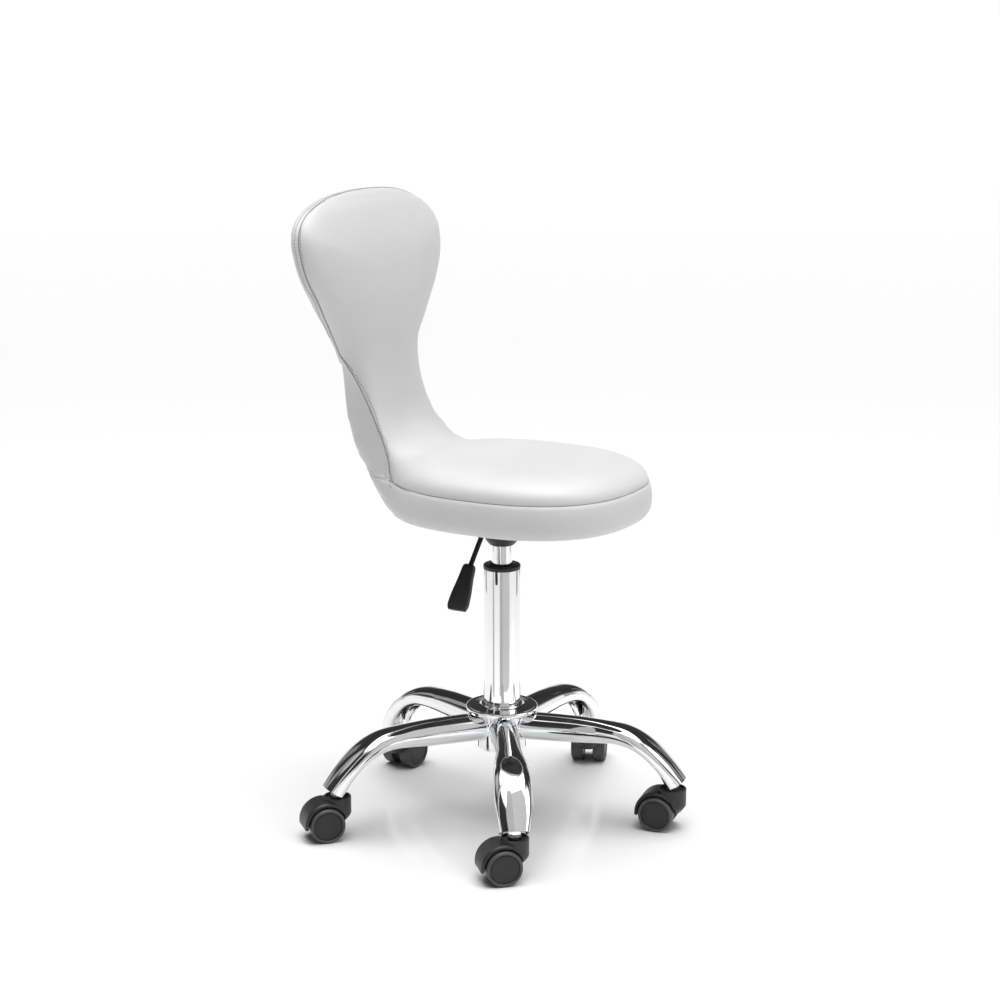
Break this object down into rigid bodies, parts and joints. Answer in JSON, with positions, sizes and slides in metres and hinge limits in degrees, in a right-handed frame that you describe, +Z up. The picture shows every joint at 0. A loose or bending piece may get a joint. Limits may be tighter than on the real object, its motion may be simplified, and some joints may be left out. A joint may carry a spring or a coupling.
{
  "type": "rolling stylist stool",
  "caption": "Rolling stylist stool: chromed star base on twin-wheel casters, gas-lift column with a release lever, and a white padded seat with a low waisted back.",
  "frame": {"origin": "on the floor, below the middle of the stool's bounding box; the column's axis stands at x -0.0219, y 0.0006", "axes": "+Z up; the sitter faces -Y, so the backrest is toward +Y and the lever, at the sitter's right hand, is toward -X"},
  "size_m": [0.531, 0.4921, 0.84],
  "materials": {
    "chrome": "mirror-polished chrome plating",
    "steel": "bright zinc-plated steel",
    "painted_steel": "black powder coat",
    "black_plastic": "fine moulded texture",
    "caster_nylon": "satin moulded nylon",
    "wheel": "moulded nylon with a grey tread",
    "leatherette": "smooth satin coated fabric",
    "lining": "non-woven",
    "plywood": "raw",
    "brass_pin": "turned"
  },
  "bodies": {
    "base": {"base_hub": "chrome", "hub_flange": "chrome", "column_tube": "chrome", "column_bushing": "black_plastic", "column_base_plate": "steel", "thrust_bearing": "steel", "leg_1": "chrome", "leg_2": "chrome", "leg_3": "chrome", "leg_4": "chrome", "leg_5": "chrome", "leg_socket_1": "chrome", "leg_socket_2": "chrome", "leg_socket_3": "chrome", "leg_socket_4": "chrome", "leg_socket_5": "chrome", "caster_stem_1": "steel", "caster_stem_2": "steel", "caster_stem_3": "steel", "caster_stem_4": "steel", "caster_stem_5": "steel"},
    "gas_rod": {"piston_rod": "steel", "rod_clip": "steel"},
    "seat": {"gas_cylinder": "chrome", "cylinder_guide": "black_plastic", "taper_socket": "painted_steel", "dust_cup": "black_plastic", "lift_housing": "painted_steel", "mount_plate": "painted_steel", "under_cover": "lining", "shell_board": "plywood", "seat_cushion": "leatherette", "seat_boxing": "leatherette", "back_cushion": "leatherette", "back_panel": "leatherette", "back_cover": "leatherette"},
    "lever": {"lever_rod": "steel", "lever_paddle": "black_plastic"},
    "valve": {"valve_pin": "brass_pin"},
    "caster_1": {"caster_hood_1": "caster_nylon", "caster_axle_1": "steel"},
    "wheel_1a": {"caster_wheel_1a": "wheel"},
    "wheel_1b": {"caster_wheel_1b": "wheel"},
    "caster_2": {"caster_hood_2": "caster_nylon", "caster_axle_2": "steel"},
    "wheel_2a": {"caster_wheel_2a": "wheel"},
    "wheel_2b": {"caster_wheel_2b": "wheel"},
    "caster_3": {"caster_hood_3": "caster_nylon", "caster_axle_3": "steel"},
    "wheel_3a": {"caster_wheel_3a": "wheel"},
    "wheel_3b": {"caster_wheel_3b": "wheel"},
    "caster_4": {"caster_hood_4": "caster_nylon", "caster_axle_4": "steel"},
    "wheel_4a": {"caster_wheel_4a": "wheel"},
    "wheel_4b": {"caster_wheel_4b": "wheel"},
    "caster_5": {"caster_hood_5": "caster_nylon", "caster_axle_5": "steel"},
    "wheel_5a": {"caster_wheel_5a": "wheel"},
    "wheel_5b": {"caster_wheel_5b": "wheel"}
  },
  "joints": [
    {"name": "seat_swivel", "type": "hinge", "parent": "base", "child": "gas_rod", "pos_m": [-0.0219, 0.0006, 0.11], "axis": [0, 0, 1], "continuous": true},
    {"name": "seat_height", "type": "slide", "parent": "gas_rod", "child": "seat", "axis": [0, 0, 1], "range_m": [0, 0.13]},
    {"name": "lever_pivot", "type": "hinge", "parent": "seat", "child": "lever", "pos_m": [-0.0459, 0.0006, 0.4225], "axis": [0, 1, 0], "range_deg": [0, 7], "stiffness_Nm_per_rad": 0.5, "springref_deg": -8.59},
    {"name": "valve_press", "type": "slide", "parent": "seat", "child": "valve", "axis": [0, 0, -1], "range_m": [0, 0.0034]},
    {"name": "caster_swivel_1", "type": "hinge", "parent": "base", "child": "caster_1", "pos_m": [-0.21748, -0.13058, 0.055], "axis": [0, 0, 1], "continuous": true},
    {"name": "wheel_spin_1a", "type": "hinge", "parent": "caster_1", "child": "wheel_1a", "pos_m": [-0.22999, -0.11763, 0.0235], "axis": [-0.7193, -0.6947, 0], "continuous": true},
    {"name": "wheel_spin_1b", "type": "hinge", "parent": "caster_1", "child": "wheel_1b", "pos_m": [-0.22999, -0.11763, 0.0235], "axis": [-0.7193, -0.6947, 0], "continuous": true},
    {"name": "caster_swivel_2", "type": "hinge", "parent": "base", "child": "caster_2", "pos_m": [0.04242, -0.22595, 0.055], "axis": [0, 0, 1], "continuous": true},
    {"name": "wheel_spin_2a", "type": "hinge", "parent": "caster_2", "child": "wheel_2a", "pos_m": [0.03911, -0.20825, 0.0235], "axis": [-0.9829, -0.184, 0], "continuous": true},
    {"name": "wheel_spin_2b", "type": "hinge", "parent": "caster_2", "child": "wheel_2b", "pos_m": [0.03911, -0.20825, 0.0235], "axis": [-0.9829, -0.184, 0], "continuous": true},
    {"name": "caster_swivel_3", "type": "hinge", "parent": "base", "child": "caster_3", "pos_m": [0.21343, -0.00823, 0.055], "axis": [0, 0, 1], "continuous": true},
    {"name": "wheel_spin_3a", "type": "hinge", "parent": "caster_3", "child": "wheel_3a", "pos_m": [0.23012, -0.00149, 0.0235], "axis": [-0.3746, 0.9272, 0], "continuous": true},
    {"name": "wheel_spin_3b", "type": "hinge", "parent": "caster_3", "child": "wheel_3b", "pos_m": [0.23012, -0.00149, 0.0235], "axis": [-0.3746, 0.9272, 0], "continuous": true},
    {"name": "caster_swivel_4", "type": "hinge", "parent": "base", "child": "caster_4", "pos_m": [0.05922, 0.22169, 0.055], "axis": [0, 0, 1], "continuous": true},
    {"name": "wheel_spin_4a", "type": "hinge", "parent": "caster_4", "child": "wheel_4a", "pos_m": [0.07713, 0.2198, 0.0235], "axis": [0.1045, 0.9945, 0], "continuous": true},
    {"name": "wheel_spin_4b", "type": "hinge", "parent": "caster_4", "child": "wheel_4b", "pos_m": [0.07713, 0.2198, 0.0235], "axis": [0.1045, 0.9945, 0], "continuous": true},
    {"name": "caster_swivel_5", "type": "hinge", "parent": "base", "child": "caster_5", "pos_m": [-0.2071, 0.14607, 0.055], "axis": [0, 0, 1], "continuous": true},
    {"name": "wheel_spin_5a", "type": "hinge", "parent": "caster_5", "child": "wheel_5a", "pos_m": [-0.22051, 0.15807, 0.0235], "axis": [-0.6665, -0.7455, 0], "continuous": true},
    {"name": "wheel_spin_5b", "type": "hinge", "parent": "caster_5", "child": "wheel_5b", "pos_m": [-0.22051, 0.15807, 0.0235], "axis": [-0.6665, -0.7455, 0], "continuous": true}
  ],
  "couplings": [
    {"joint": "valve_press", "follows": "lever_pivot", "m_per_rad": 0.0268}
  ]
}
